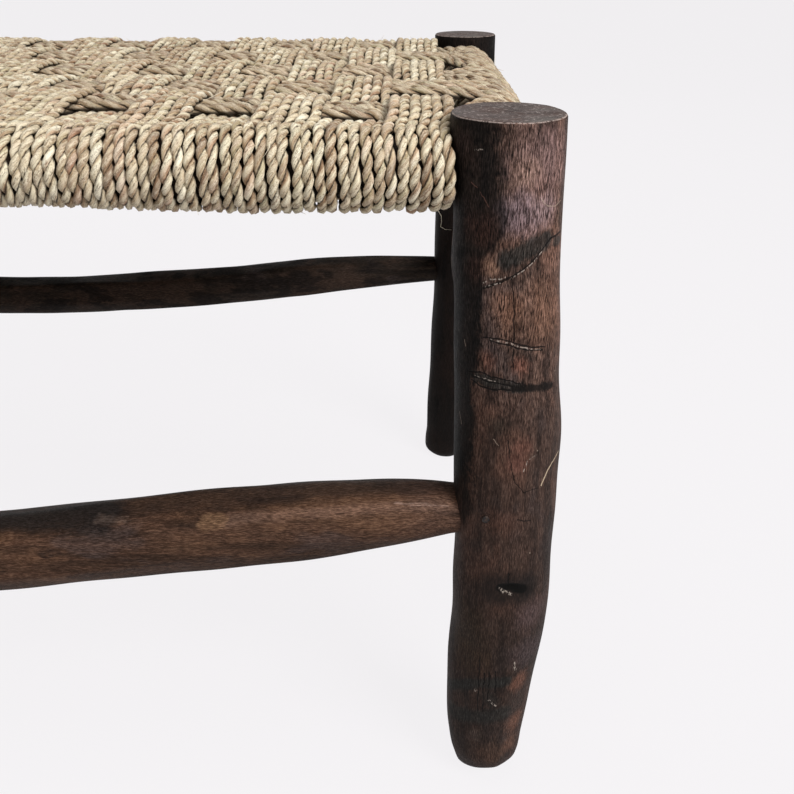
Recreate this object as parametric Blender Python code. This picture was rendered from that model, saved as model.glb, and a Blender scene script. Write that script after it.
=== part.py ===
"""A rustic woven bench: branch legs, rails and stretchers tenoned into them, and a rope seat.

The seat rope is grouped into flat bands. Warp bands run from front to back round the front and
back rails, and weft bands run from side to side round the two side rails, over one warp band and
under the next.

Units are metres. X runs along the bench, Y from front to back and Z up. The origin is on the
floor under the middle of the bench.
"""

import math

import bmesh
import bpy
from mathutils import Matrix, Vector

# Frame: leg axes, leg height and branch thickness
LEG_SPACING_LENGTH = 0.917
LEG_SPACING_DEPTH = 0.406
LEG_HEIGHT = 0.448
LEG_RADIUS = 0.030
LEG_TOP_EASE = 0.0015
LEG_SIDES = 16

# Outline that all legs share: (share of the height, share of the leg's radius)
LEG_GIRTH = (
    (0.000, 0.50),
    (0.012, 0.66),
    (0.035, 0.78),
    (0.076, 0.86),
    (0.130, 0.92),
    (0.260, 1.02),
    (0.400, 1.02),
    (0.550, 1.03),
    (0.700, 1.00),
    (0.850, 0.97),
    (1.000, 1.00),
)
# Centre line that all legs share: (share of the height, share of the leg's crook)
LEG_BEND = (
    (0.00, 0.45),
    (0.13, 0.55),
    (0.26, 0.93),
    (0.40, 1.00),
    (0.55, 0.87),
    (0.70, 0.50),
    (0.85, 0.18),
    (1.00, 0.00),
)
# Sideways kick of a foot: (share of the height, share of the leg's kick)
LEG_KICK = (
    (0.000, 1.00),
    (0.076, 0.76),
    (0.130, 0.58),
    (0.260, 0.16),
    (0.400, -0.06),
    (0.550, -0.21),
    (0.700, -0.20),
    (0.850, -0.10),
    (1.000, 0.00),
)
# How far each leg bows out along X, sways along Y, and kicks out at its foot along X
FRONT_LEG_CROOK = 0.0085
BACK_RIGHT_LEG_CROOK = 0.002
BACK_LEFT_LEG_CROOK = 0.004
FRONT_RIGHT_LEG_SWAY = 0.001
FRONT_LEFT_LEG_SWAY = 0.003
BACK_LEG_SWAY = 0.002
BACK_RIGHT_LEG_KICK = -0.0095
# Each leg: side along X, side along Y, share of the leg radius, crook along X and along Y, kick
LEGS = {
    "leg_front_right": (1, -1, 1.00, FRONT_LEG_CROOK, FRONT_RIGHT_LEG_SWAY, 0.0),
    "leg_front_left": (-1, -1, 1.00, -FRONT_LEG_CROOK, FRONT_LEFT_LEG_SWAY, 0.0),
    "leg_back_right": (1, 1, 0.93, BACK_RIGHT_LEG_CROOK, -BACK_LEG_SWAY, BACK_RIGHT_LEG_KICK),
    "leg_back_left": (-1, 1, 0.95, -BACK_LEFT_LEG_CROOK, -BACK_LEG_SWAY, 0.0),
}

# Joints: round tenons in blind mortises, and a nail through each stretcher tenon
FIT_GAP = 0.0003
RAIL_TENON_STOP = 0.012
STRETCHER_TENON_STOP = 0.006
NAIL_RADIUS = 0.00125
NAIL_HEAD_RADIUS = 0.0026
NAIL_HEAD_THICKNESS = 0.0014
NAIL_LENGTH = 0.026
NAIL_INSET = 0.0135
# How far above a tenon's axis its nail sits, as a share of the tenon's radius
NAIL_RISE = 0.7
NAIL_SIDES = 8

# Seat rails
RAIL_RADIUS = 0.0165
RAIL_TENON_RADIUS = 0.010
RAIL_DROP = 0.0295
RAIL_SHOULDER_GAP = 0.002

# Stretchers: height of the ends, radius at the ends and in the middle, length of the taper, bow
FRONT_STRETCHER_HEIGHT = 0.206
FRONT_STRETCHER_END_RADIUS = 0.0150
FRONT_STRETCHER_MIDDLE_RADIUS = 0.0243
FRONT_STRETCHER_TAPER = 0.170
FRONT_STRETCHER_BOW = 0.044
BACK_STRETCHER_HEIGHT = 0.216
BACK_STRETCHER_END_RADIUS = 0.0125
BACK_STRETCHER_MIDDLE_RADIUS = 0.0192
BACK_STRETCHER_TAPER = 0.135
BACK_STRETCHER_BOW = 0.0315
SIDE_STRETCHER_HEIGHT = 0.262
SIDE_STRETCHER_END_RADIUS = 0.0125
SIDE_STRETCHER_MIDDLE_RADIUS = 0.0180
SIDE_STRETCHER_TAPER = 0.115
SIDE_STRETCHER_BOW = 0.006
# Shape of the tapers, from straight at 1 to round-shouldered at 3, and of the bow
FRONT_STRETCHER_FULLNESS = 3.2
BACK_STRETCHER_FULLNESS = 1.2
SIDE_STRETCHER_FULLNESS = 2.0
STRETCHER_BOW_POWER = 1.4
STRETCHER_TAPER_STEPS = 4
STRETCHER_MIDDLE_STEPS = 5
STRETCHER_SIDES = 12

STRETCHERS = {
    "front": (
        FRONT_STRETCHER_HEIGHT,
        FRONT_STRETCHER_END_RADIUS,
        FRONT_STRETCHER_MIDDLE_RADIUS,
        FRONT_STRETCHER_TAPER,
        FRONT_STRETCHER_FULLNESS,
        FRONT_STRETCHER_BOW,
    ),
    "back": (
        BACK_STRETCHER_HEIGHT,
        BACK_STRETCHER_END_RADIUS,
        BACK_STRETCHER_MIDDLE_RADIUS,
        BACK_STRETCHER_TAPER,
        BACK_STRETCHER_FULLNESS,
        BACK_STRETCHER_BOW,
    ),
    "side": (
        SIDE_STRETCHER_HEIGHT,
        SIDE_STRETCHER_END_RADIUS,
        SIDE_STRETCHER_MIDDLE_RADIUS,
        SIDE_STRETCHER_TAPER,
        SIDE_STRETCHER_FULLNESS,
        SIDE_STRETCHER_BOW,
    ),
}

# Seat rope, in bands of several ropes side by side
ROPE_DIAMETER = 0.0059
ROPES_PER_BAND = 6
BAND_THICKNESS = 0.005
WARP_GAP = 0.003
WEFT_ROWS = 5
FRONT_WEFT_DRIFT = 0.032
FRONT_WEFT_DRIFT_RUN = 0.260
WEFT_FAN_GAP = 0.001
LEG_ROPE_GAP = 0.001
CROSSING_MARGIN = 0.0006
WRAP_STEPS = 8

# What follows from the driving dimensions
BAND_WIDTH = ROPES_PER_BAND * ROPE_DIAMETER
WARP_SPAN = LEG_SPACING_LENGTH - 2 * (LEG_RADIUS + LEG_ROPE_GAP)
WARP_BANDS = round(WARP_SPAN / BAND_WIDTH)
WARP_PITCH = WARP_SPAN / WARP_BANDS
WARP_HALF_WIDTH = (WARP_PITCH - WARP_GAP) / 2
WEFT_PITCH = LEG_SPACING_DEPTH / WEFT_ROWS
WEFT_HALF_WIDTH = BAND_WIDTH / 2
FAN_PITCH = (LEG_SPACING_DEPTH - 2 * (LEG_RADIUS + 2 * LEG_ROPE_GAP)) / WEFT_ROWS
FAN_HALF_WIDTH = (FAN_PITCH - WEFT_FAN_GAP) / 2
RAIL_HEIGHT = LEG_HEIGHT - RAIL_DROP
RAIL_SIDES = 2 * WRAP_STEPS
WRAP_INNER = RAIL_RADIUS + FIT_GAP
WRAP_OUTER = WRAP_INNER + BAND_THICKNESS
CROSSING_RISE = BAND_THICKNESS + FIT_GAP
HALF_LENGTH = LEG_SPACING_LENGTH / 2
HALF_DEPTH = LEG_SPACING_DEPTH / 2


def clear_scene():
    """Remove everything that the scene starts with."""
    for thing in list(bpy.data.objects):
        bpy.data.objects.remove(thing)


def finish_material(name, colour, roughness, metallic=0.0):
    """One plain Principled finish."""
    material = bpy.data.materials.new(name)
    material.use_nodes = True
    shader = material.node_tree.nodes["Principled BSDF"]
    shader.inputs["Base Color"].default_value = (*colour, 1.0)
    shader.inputs["Roughness"].default_value = roughness
    shader.inputs["Metallic"].default_value = metallic
    return material


def add_object(name, bm, material):
    """Turn a bmesh into a named, smooth-shaded object."""
    bmesh.ops.recalc_face_normals(bm, faces=bm.faces)
    mesh = bpy.data.meshes.new(name)
    bm.to_mesh(mesh)
    bm.free()
    mesh.shade_smooth()
    mesh.set_sharp_from_angle(angle=math.radians(40))
    obj = bpy.data.objects.new(name, mesh)
    bpy.context.scene.collection.objects.link(obj)
    if material:
        mesh.materials.append(material)
    return obj


def between(outline, share):
    """Value of an outline of (share, value) pairs at a share, on straight lines between its points."""
    for (low, a), (high, b) in zip(outline, outline[1:]):
        if share <= high:
            return a + (b - a) * (share - low) / (high - low)
    return outline[-1][1]


def round_piece(name, stations, turn, sides, material):
    """A round piece lofted through (centre, radius) stations, with rings square to the turned Z axis."""
    bm = bmesh.new()
    centre, radius = stations[0]
    ring = bmesh.ops.create_circle(bm, cap_ends=False, segments=sides, radius=radius)["verts"]
    bmesh.ops.transform(bm, matrix=Matrix.Translation(centre) @ turn, verts=ring)
    edges = bm.edges[:]
    for next_centre, next_radius in stations[1:]:
        grown = bmesh.ops.extrude_edge_only(bm, edges=edges)["geom"]
        verts = [item for item in grown if isinstance(item, bmesh.types.BMVert)]
        lines = [item for item in grown if isinstance(item, bmesh.types.BMEdge)]
        edges = [line for line in lines if set(line.verts) <= set(verts)]
        scale = next_radius / radius
        about = Matrix.Translation(-centre)
        bmesh.ops.scale(bm, vec=(scale, scale, scale), space=about, verts=verts)
        bmesh.ops.translate(bm, vec=next_centre - centre, verts=verts)
        centre, radius = next_centre, next_radius
    bmesh.ops.holes_fill(bm, edges=[edge for edge in bm.edges if edge.is_boundary], sides=0)
    return add_object(name, bm, material)


def cut(obj, cutter):
    """Cut one hidden helper out of an object."""
    cutter.hide_render = True
    cutter.display_type = "WIRE"
    modifier = obj.modifiers.new("cut_" + cutter.name, "BOOLEAN")
    modifier.operation = "DIFFERENCE"
    modifier.solver = "EXACT"
    modifier.object = cutter


UPRIGHT = Matrix.Identity(4)
ALONG_X = Matrix.Rotation(math.radians(90), 4, "Y")
ALONG_Y = Matrix.Rotation(math.radians(-90), 4, "X")


def leg_centre(name, height):
    """Centre of a leg at a height above the floor."""
    side_x, side_y, _, crook_x, crook_y, kick = LEGS[name]
    share = height / LEG_HEIGHT
    bend = between(LEG_BEND, share)
    x = side_x * HALF_LENGTH + crook_x * bend + kick * between(LEG_KICK, share)
    y = side_y * HALF_DEPTH + crook_y * bend
    return Vector((x, y, height))


def leg_radius(name, height):
    """Radius of a leg at a height above the floor."""
    return LEG_RADIUS * LEGS[name][2] * between(LEG_GIRTH, height / LEG_HEIGHT)


def make_leg(name, material):
    """A tapered, slightly crooked branch with a flat foot and an eased top rim."""
    shares = sorted({share for share, _ in LEG_GIRTH + LEG_BEND + LEG_KICK} - {1.0})
    heights = [share * LEG_HEIGHT for share in shares] + [LEG_HEIGHT - LEG_TOP_EASE]
    stations = [(leg_centre(name, z), leg_radius(name, z)) for z in heights]
    top = leg_radius(name, LEG_HEIGHT) - LEG_TOP_EASE
    stations.append((leg_centre(name, LEG_HEIGHT), top))
    return round_piece(name, stations, UPRIGHT, LEG_SIDES, material)


def leg_corner(name):
    """Where the seat rails' axes meet in a leg."""
    side_x, side_y = LEGS[name][:2]
    return Vector((side_x * HALF_LENGTH, side_y * HALF_DEPTH, RAIL_HEIGHT))


def drill(legs, leg, axis, direction, radius, stop, turn, sides):
    """A blind mortise in a leg, from outside its surface to just past the tenon's tip."""
    start = axis + direction * (2 * LEG_RADIUS)
    end = axis + direction * (stop - FIT_GAP)
    hole = radius + FIT_GAP
    name = f"mortise_{leg}_{round(axis.z * 1000)}_{abs(round(direction.x))}"
    cutter = round_piece(name, [(start, hole), (end, hole)], turn, sides, None)
    cut(legs[leg], cutter)


def make_rail(name, ends, turn, legs, material):
    """A seat rail: a round body between two legs, with a narrower tenon at each end."""
    low, high = (leg_corner(leg) for leg in ends)
    run = (high - low).normalized()
    stations = []
    for leg, centre, inward in ((ends[0], low, run), (ends[1], high, -run)):
        shoulder = centre + inward * (leg_radius(leg, RAIL_HEIGHT) + RAIL_SHOULDER_GAP)
        tip = centre + inward * RAIL_TENON_STOP
        half = [(tip, RAIL_TENON_RADIUS), (shoulder, RAIL_TENON_RADIUS), (shoulder, RAIL_RADIUS)]
        stations += half if inward == run else half[::-1]
        drill(legs, leg, centre, inward, RAIL_TENON_RADIUS, RAIL_TENON_STOP, turn, RAIL_SIDES)
    return round_piece(name, stations, turn, RAIL_SIDES, material)


def stretcher_stations(ends, size):
    """Tapered, bowed stretcher between two legs, as (centre, radius) stations from tip to tip."""
    height, end_radius, middle_radius, taper, fullness, bow = size
    low, high = (leg_centre(leg, height) for leg in ends)
    length = (high - low).length
    entry = [leg_radius(leg, height) for leg in ends]
    distances = [STRETCHER_TENON_STOP]
    for step in range(STRETCHER_TAPER_STEPS + 1):
        distances.append(entry[0] + taper * step / STRETCHER_TAPER_STEPS)
    middle = length - entry[1] - taper - distances[-1]
    start = distances[-1]
    for step in range(1, STRETCHER_MIDDLE_STEPS):
        distances.append(start + middle * step / STRETCHER_MIDDLE_STEPS)
    for step in range(STRETCHER_TAPER_STEPS, -1, -1):
        distances.append(length - entry[1] - taper * step / STRETCHER_TAPER_STEPS)
    distances.append(length - STRETCHER_TENON_STOP)
    stations = []
    for distance in distances:
        inside = min(distance - entry[0], length - entry[1] - distance)
        share = min(max(inside / taper, 0.0), 1.0)
        radius = end_radius + (middle_radius - end_radius) * (1 - (1 - share) ** fullness)
        free = length - entry[0] - entry[1]
        swing = min(max((distance - entry[0]) / free, 0.0), 1.0)
        sag = bow * math.sin(math.pi * swing) ** STRETCHER_BOW_POWER if 0 < swing < 1 else 0.0
        centre = low.lerp(high, distance / length)
        centre.z = height - sag
        stations.append((centre, radius))
    return stations


def make_stretcher(name, ends, size, along, nail_side, legs, wood, iron):
    """A stretcher with a tenon in each leg and a nail through each tenon."""
    turn = ALONG_X if along.x else ALONG_Y
    stretcher = round_piece(name, stretcher_stations(ends, size), turn, STRETCHER_SIDES, wood)
    height, end_radius = size[0], size[1]
    run = (leg_centre(ends[1], height) - leg_centre(ends[0], height)).normalized()
    for leg, inward in zip(ends, (run, -run)):
        axis = leg_centre(leg, height)
        drill(legs, leg, axis, inward, end_radius, STRETCHER_TENON_STOP, turn, STRETCHER_SIDES)
        nail_height = height + end_radius * NAIL_RISE
        nail_tenon(leg, inward, nail_side, nail_height, stretcher, legs, iron)
    return stretcher


def nail_tenon(leg, inward, out, height, stretcher, legs, iron):
    """A nail driven from the leg's outer face through the tenon, its head set in a shallow recess."""
    turn = ALONG_Y if out.y else ALONG_X
    axis = leg_centre(leg, height) + inward * NAIL_INSET
    reach = math.sqrt(leg_radius(leg, height) ** 2 - (NAIL_INSET + NAIL_HEAD_RADIUS) ** 2)
    seat = axis + out * (reach - FIT_GAP)
    point = seat - out * NAIL_LENGTH
    under_head = seat + out * FIT_GAP
    top = under_head + out * NAIL_HEAD_THICKNESS
    name = f"nail_{leg[4:]}_{stretcher.name[10:]}"
    nail = [(point, NAIL_RADIUS), (under_head, NAIL_RADIUS)]
    nail += [(under_head, NAIL_HEAD_RADIUS), (top, NAIL_HEAD_RADIUS)]
    round_piece(name, nail, turn, NAIL_SIDES, iron)
    hole = NAIL_RADIUS + FIT_GAP
    recess = NAIL_HEAD_RADIUS + FIT_GAP
    outside = axis + out * (2 * LEG_RADIUS)
    bottom = point - out * FIT_GAP
    shank = round_piece("hole_" + name, [(bottom, hole), (outside, hole)], turn, NAIL_SIDES, None)
    head = round_piece("recess_" + name, [(seat, recess), (outside, recess)], turn, NAIL_SIDES, None)
    cut(legs[leg], shank)
    cut(legs[leg], head)
    cut(stretcher, shank)


def wrap_arc(centre, start, end):
    """Inner and outer points round a rail, from one angle to another, in the band's own plane."""
    pairs = []
    for step in range(WRAP_STEPS + 1):
        angle = math.radians(start + (end - start) * step / WRAP_STEPS)
        spoke = Vector((math.cos(angle), math.sin(angle)))
        pairs.append((centre + spoke * WRAP_INNER, centre + spoke * WRAP_OUTER))
    return pairs


def band_loop(name, pairs, place, material):
    """A closed flat band: its section loop runs through (inner, outer) points, and place() sets its edges."""
    bm = bmesh.new()
    loops = []
    for side in range(2):
        verts = [bm.verts.new((pair[side].x, 0.0, pair[side].y)) for pair in pairs]
        loops.append([bm.edges.new((a, b)) for a, b in zip(verts, verts[1:] + verts[:1])])
    strip = bmesh.ops.bridge_loops(bm, edges=loops[0] + loops[1])["faces"]
    grown = bmesh.ops.extrude_face_region(bm, geom=strip)["geom"]
    far = {item for item in grown if isinstance(item, bmesh.types.BMVert)}
    for vert in bm.verts:
        vert.co = place(vert.co.x, vert.co.z, 1 if vert in far else -1)
    return add_object(name, bm, material)


def crossing(along, outside, face):
    """Inner and outer point of a band where it crosses others, on the seat's top (1) or under it (-1)."""
    inner = WRAP_INNER + (CROSSING_RISE if outside else 0.0)
    outer = inner + BAND_THICKNESS
    return Vector((along, RAIL_HEIGHT + face * inner)), Vector((along, RAIL_HEIGHT + face * outer))


def weft_over_warp(warp, row):
    """Whether a weft row passes over a warp band. Bands count from the right, rows from the front."""
    return (warp + row) % 2 == 1


def make_warp(index, material):
    """One warp band: round the front and back rails, outside or inside each weft row on both faces."""
    x = HALF_LENGTH - LEG_RADIUS - LEG_ROPE_GAP - WARP_PITCH * (index + 0.5)
    runs = {}
    for face in (1, -1):
        runs[face] = []
        for row in range(WEFT_ROWS):
            for edge in (-1, 1):
                sides = (x - WARP_HALF_WIDTH, x + WARP_HALF_WIDTH)
                reach = max(edge * weft_edge(along, row, edge) for along in sides)
                y = edge * (reach + CROSSING_MARGIN)
                runs[face].append(crossing(y, not weft_over_warp(index, row), face))
    pairs = wrap_arc(Vector((-HALF_DEPTH, RAIL_HEIGHT)), 270, 90) + runs[1]
    pairs += wrap_arc(Vector((HALF_DEPTH, RAIL_HEIGHT)), 90, -90) + runs[-1][::-1]

    def place(along, height, side):
        return Vector((x + side * WARP_HALF_WIDTH, along, height))

    return band_loop(f"warp_band_{index + 1:02d}", pairs, place, material)


def weft_middle(along, row):
    """Y of a weft row's middle across the warp. The front row bends back from its rail between its ends."""
    drift = 0.0
    if row == 0:
        share = min(max((WARP_SPAN / 2 - abs(along)) / FRONT_WEFT_DRIFT_RUN, 0.0), 1.0)
        drift = FRONT_WEFT_DRIFT * share * share * (3 - 2 * share)
    return WEFT_PITCH * (row + 0.5) - HALF_DEPTH + drift


def weft_edge(along, row, side):
    """Y of a weft band's edge: straight across the warp, then fanned out over the side rail."""
    warp_edge = WARP_SPAN / 2
    fan = min(max((abs(along) - warp_edge) / (HALF_LENGTH - warp_edge), 0.0), 1.0)
    woven = weft_middle(along, row) + side * WEFT_HALF_WIDTH
    spread = FAN_PITCH * (row + 0.5 - WEFT_ROWS / 2) + side * FAN_HALF_WIDTH
    return woven + (spread - woven) * fan


def make_weft(row, material):
    """One weft band: round both side rails, outside or inside each warp band on both faces."""
    runs = {}
    for face in (1, -1):
        runs[face] = []
        for warp in reversed(range(WARP_BANDS)):
            middle = WARP_SPAN / 2 - WARP_PITCH * (warp + 0.5)
            for edge in (-1, 1):
                x = middle + edge * (WARP_HALF_WIDTH + CROSSING_MARGIN)
                runs[face].append(crossing(x, weft_over_warp(warp, row), face))
    pairs = wrap_arc(Vector((-HALF_LENGTH, RAIL_HEIGHT)), 270, 90) + runs[1]
    pairs += wrap_arc(Vector((HALF_LENGTH, RAIL_HEIGHT)), 90, -90) + runs[-1][::-1]

    def place(along, height, side):
        return Vector((along, weft_edge(along, row, side), height))

    return band_loop(f"weft_band_{row + 1}", pairs, place, material)


def main():
    """Build the bench."""
    clear_scene()
    wood = finish_material("dark_branch_wood", (0.070, 0.040, 0.030), 0.62)
    peeled = finish_material("rail_wood", (0.22, 0.13, 0.08), 0.70)
    straw = finish_material("palm_rope", (0.52, 0.42, 0.27), 0.85)
    iron = finish_material("nail_iron", (0.05, 0.045, 0.04), 0.55, 0.8)
    legs = {name: make_leg(name, wood) for name in LEGS}
    right, back = Vector((1, 0, 0)), Vector((0, 1, 0))
    for place, side in (("front", -1), ("back", 1)):
        ends = (f"leg_{place}_left", f"leg_{place}_right")
        make_rail(f"rail_{place}", ends, ALONG_X, legs, peeled)
        size = STRETCHERS[place]
        make_stretcher(f"stretcher_{place}", ends, size, right, back * side, legs, wood, iron)
    for place, side in (("left", -1), ("right", 1)):
        ends = (f"leg_front_{place}", f"leg_back_{place}")
        make_rail(f"rail_{place}", ends, ALONG_Y, legs, peeled)
        size = STRETCHERS["side"]
        make_stretcher(f"stretcher_{place}", ends, size, back, right * side, legs, wood, iron)
    for index in range(WARP_BANDS):
        make_warp(index, straw)
    for row in range(WEFT_ROWS):
        make_weft(row, straw)


main()
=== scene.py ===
"""Looks of a rustic woven bench: a seat of twisted palm rope on a frame of stained branches."""

from math import exp, pi, radians, sqrt
from random import Random

import bmesh
import bpy
import numpy as np
from mathutils import Matrix, Vector


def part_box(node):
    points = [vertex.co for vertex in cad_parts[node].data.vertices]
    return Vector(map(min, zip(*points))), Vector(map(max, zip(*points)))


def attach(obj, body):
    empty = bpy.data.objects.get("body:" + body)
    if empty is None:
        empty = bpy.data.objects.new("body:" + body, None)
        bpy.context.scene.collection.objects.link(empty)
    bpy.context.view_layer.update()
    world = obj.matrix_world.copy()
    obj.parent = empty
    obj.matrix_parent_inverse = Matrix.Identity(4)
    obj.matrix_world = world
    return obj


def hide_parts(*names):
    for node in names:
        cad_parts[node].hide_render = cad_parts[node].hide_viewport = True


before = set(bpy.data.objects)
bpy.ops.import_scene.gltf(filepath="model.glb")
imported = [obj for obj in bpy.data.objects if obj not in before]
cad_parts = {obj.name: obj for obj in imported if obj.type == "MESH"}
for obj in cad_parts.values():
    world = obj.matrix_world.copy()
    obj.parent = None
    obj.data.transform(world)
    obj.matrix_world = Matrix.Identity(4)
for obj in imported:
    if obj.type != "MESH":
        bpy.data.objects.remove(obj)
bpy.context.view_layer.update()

# Sizes of the frame, in metres, as the solids have them
HALF_LENGTH = 0.917 / 2
HALF_DEPTH = 0.406 / 2
LEG_HEIGHT = 0.448
LEG_RADIUS = 0.03
# Along a leg, by the share of its height: the share of its radius, of its crook and of its foot's kick
LEG_GIRTH = (
    (0.0, 0.5), (0.012, 0.66), (0.035, 0.78), (0.076, 0.86), (0.13, 0.92), (0.26, 1.02),
    (0.4, 1.02), (0.55, 1.03), (0.7, 1.0), (0.85, 0.97), (1.0, 1.0),
)
LEG_BEND = (
    (0.0, 0.45), (0.13, 0.55), (0.26, 0.93), (0.4, 1.0), (0.55, 0.87), (0.7, 0.5),
    (0.85, 0.18), (1.0, 0.0),
)
LEG_KICK = (
    (0.0, 1.0), (0.076, 0.76), (0.13, 0.58), (0.26, 0.16), (0.4, -0.06), (0.55, -0.21),
    (0.7, -0.2), (0.85, -0.1), (1.0, 0.0),
)
# Each leg: its side along X and along Y, share of the radius, crook along X and along Y, kick of its foot
LEGS = {
    "front_right": (1, -1, 1.0, 0.0085, 0.001, 0.0),
    "front_left": (-1, -1, 1.0, -0.0085, 0.003, 0.0),
    "back_right": (1, 1, 0.93, 0.002, -0.002, -0.0095),
    "back_left": (-1, 1, 0.95, -0.004, -0.002, 0.0),
}
# How far the foot is worn away at its front
FOOT_WEAR = {"front_right": 0.008, "front_left": 0.003, "back_right": 0.0, "back_left": 0.002}
# Each stretcher: its two legs, height, end radius, middle radius, taper, fullness and bow
STRETCHERS = {
    "front": ("front_left", "front_right", 0.206, 0.015, 0.0243, 0.17, 3.2, 0.044),
    "back": ("back_left", "back_right", 0.216, 0.0125, 0.0192, 0.135, 1.2, 0.0315),
    "left": ("front_left", "back_left", 0.262, 0.0125, 0.018, 0.115, 2.0, 0.006),
    "right": ("front_right", "back_right", 0.262, 0.0125, 0.018, 0.115, 2.0, 0.006),
}
# Half of the front stretcher's free run between its legs, and how far it sinks below its bow, by the place
FRONT_FREE_HALF = 0.4366
FRONT_SINK = ((0, 0), (0.62, 0), (0.69, -0.0012), (0.84, 0.0021), (0.91, 0))
BOW_POWER = 1.4
TENON_STOP = 0.006
TENON_TIP_RADIUS = 0.002
NAIL_RADIUS = 0.00125
NAIL_HEAD_RADIUS = 0.0026
RAIL_RADIUS = 0.0165
RAIL_HEIGHT = LEG_HEIGHT - 0.0295
# Fineness of the meshes, and the distance at which two points are one
LEG_RINGS = 210
LEG_SIDES = 76
STRETCHER_RINGS = 240
NAIL_SIDES = 20
MERGE = 1e-6

# The seat: groups of six warp ropes from front to back, rows of six weft ropes from side to side
ROPES = 6
WARP_SPAN = 0.855
WARP_GROUPS = 24
WARP_PITCH = WARP_SPAN / WARP_GROUPS
ROPE_PITCH = WARP_PITCH / ROPES
WEFT_ROWS = 5
WEFT_PITCH = 2 * HALF_DEPTH / WEFT_ROWS
WEFT_ROPE_PITCH = 0.0056
# How far the front weft row bends back from its rail, and over what length at each end
FRONT_DRIFT = 0.032
FRONT_DRIFT_RUN = 0.26
# Each row fans out round a side rail, where the rope takes one and a half turns between two passes
FAN_PITCH = 0.0684
FAN_STEP = FAN_PITCH / (2 * ROPES)
SIDE_WRAP = 3 * pi
SIDE_BULGE = 0.0034
ROPE_RADIUS = ROPE_PITCH / 2
WRAP_RADIUS = RAIL_RADIUS + ROPE_RADIUS
RAIL_TOP = RAIL_HEIGHT + WRAP_RADIUS
STRAND_RADIUS = 0.002
STRAND_OFFSET = 0.00132
# Length of a rope's full twist
WARP_LAY = 0.0186
WEFT_LAY = 0.0225
# Height of the weave, how far its ropes rise and sink, half the length on which a warp rope stays level,
# and how far inside a warp group's edge a weft rope starts to climb
WEAVE_HEIGHT = 0.4395
WARP_WAVE = 0.0046
WEFT_WAVE = 0.0011
WARP_LEVEL_HALF = 0.007
WEFT_CLIMB = 0.0055
# How far a weft row dips under the last warp group, where each row starts to fan out and where it meets
# the side rail's top, both from the rail's axis
END_DIP = 0.0045
FAN_REACH = (0.03, 0.034, 0.029, 0.026, 0.036)
RAIL_LANDING = 0.004
# From point to point of a rope's route, on the top of the seat and under it, and points round the rails
TOP_STEP = 0.0026
UNDER_STEP = 0.0034
WARP_ARC_STEPS = 24
WEFT_WRAP_STEPS = 68
# How far the warp ropes stand off the front and back rails, and where they are slack or tight there:
# how much, place along X, and width
WRAP_SLACK = 0.0006
WRAP_SWELL = ((0.0016, 0.33, 0.07), (-0.0018, 0.18, 0.1), (-0.0014, 0.43, 0.012), (0.001, -0.25, 0.12))
# How much wider than their span the warp ropes lie between two legs, how much more before and behind them,
# and how far from the legs' axes the change reaches
WARP_SPREAD = 1.0028
WARP_LOOSE = 0.0064
LEG_GRIP = 0.016
# Loose slivers of leaf: how many, their radius, and two with a place of their own: Y, then X and Z of points
SLIVERS = 700
SLIVER_RADIUS = 0.00018
PLACED_SLIVERS = (
    (-0.178, (0.4279, 0.4455), (0.4298, 0.4442), (0.432, 0.4431), (0.4337, 0.442), (0.4355, 0.44)),
    (-0.2035, (0.4217, 0.3985), (0.4228, 0.3951), (0.4244, 0.3923), (0.4247, 0.389), (0.4242, 0.3862),
     (0.4265, 0.3848), (0.4303, 0.3845)),
)

# Each lamp: its place, the point that it faces, size and power
LAMPS = {
    "key_lamp": ((2.0, -1.7, 2.0), (0.3, 0, 0.3), 1.2, 90),
    "top_lamp": ((0.2, -0.3, 2.6), (0.2, 0, 0.4), 1.6, 26),
    "front_lamp": ((0.1, -2.2, 0.9), (0.1, 0, 0.35), 1.5, 6),
    "back_lamp": ((-0.4, 2.4, 0.9), (0, 0, 0.25), 1.8, 15),
}
# Strength of the world's light on the bench, and as the camera sees it
WORLD_LIGHT = 0.17
WORLD_SEEN = 0.87
# How much of the floor is an even glow to the camera
FLOOR_GLOW = 0.92
FLOOR_HALF = 30
CAMERA_PLACE = (0.4071, -0.6681, 0.5303)
CAMERA_TURN = (radians(68.11), 0, radians(0.79))
CAMERA_LENS = 40.81
CAMERA_SHIFT = -0.1222


def paint(red, green, blue):
    """A colour given by its screen values from 0 to 255."""
    linear = [((c / 255 + 0.055) / 1.055) ** 2.4 if c > 10 else c / 3294.6 for c in (red, green, blue)]
    return (*linear, 1.0)


def paints(*colours):
    return tuple(paint(*colour) for colour in colours)


class Shade:
    """A socket of a finish. Sums on shades add Math nodes to the finish."""

    def __init__(self, finish, socket):
        self.finish = finish
        self.socket = socket

    def __add__(self, other):
        return self.finish.math("ADD", self, other)

    def __sub__(self, other):
        return self.finish.math("SUBTRACT", self, other)

    def __rsub__(self, other):
        return self.finish.math("SUBTRACT", other, self)

    def __mul__(self, other):
        return self.finish.math("MULTIPLY", self, other)

    def __truediv__(self, other):
        return self.finish.math("DIVIDE", self, other)

    def __pow__(self, other):
        return self.finish.math("POWER", self, other)

    __radd__ = __add__
    __rmul__ = __mul__


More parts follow.
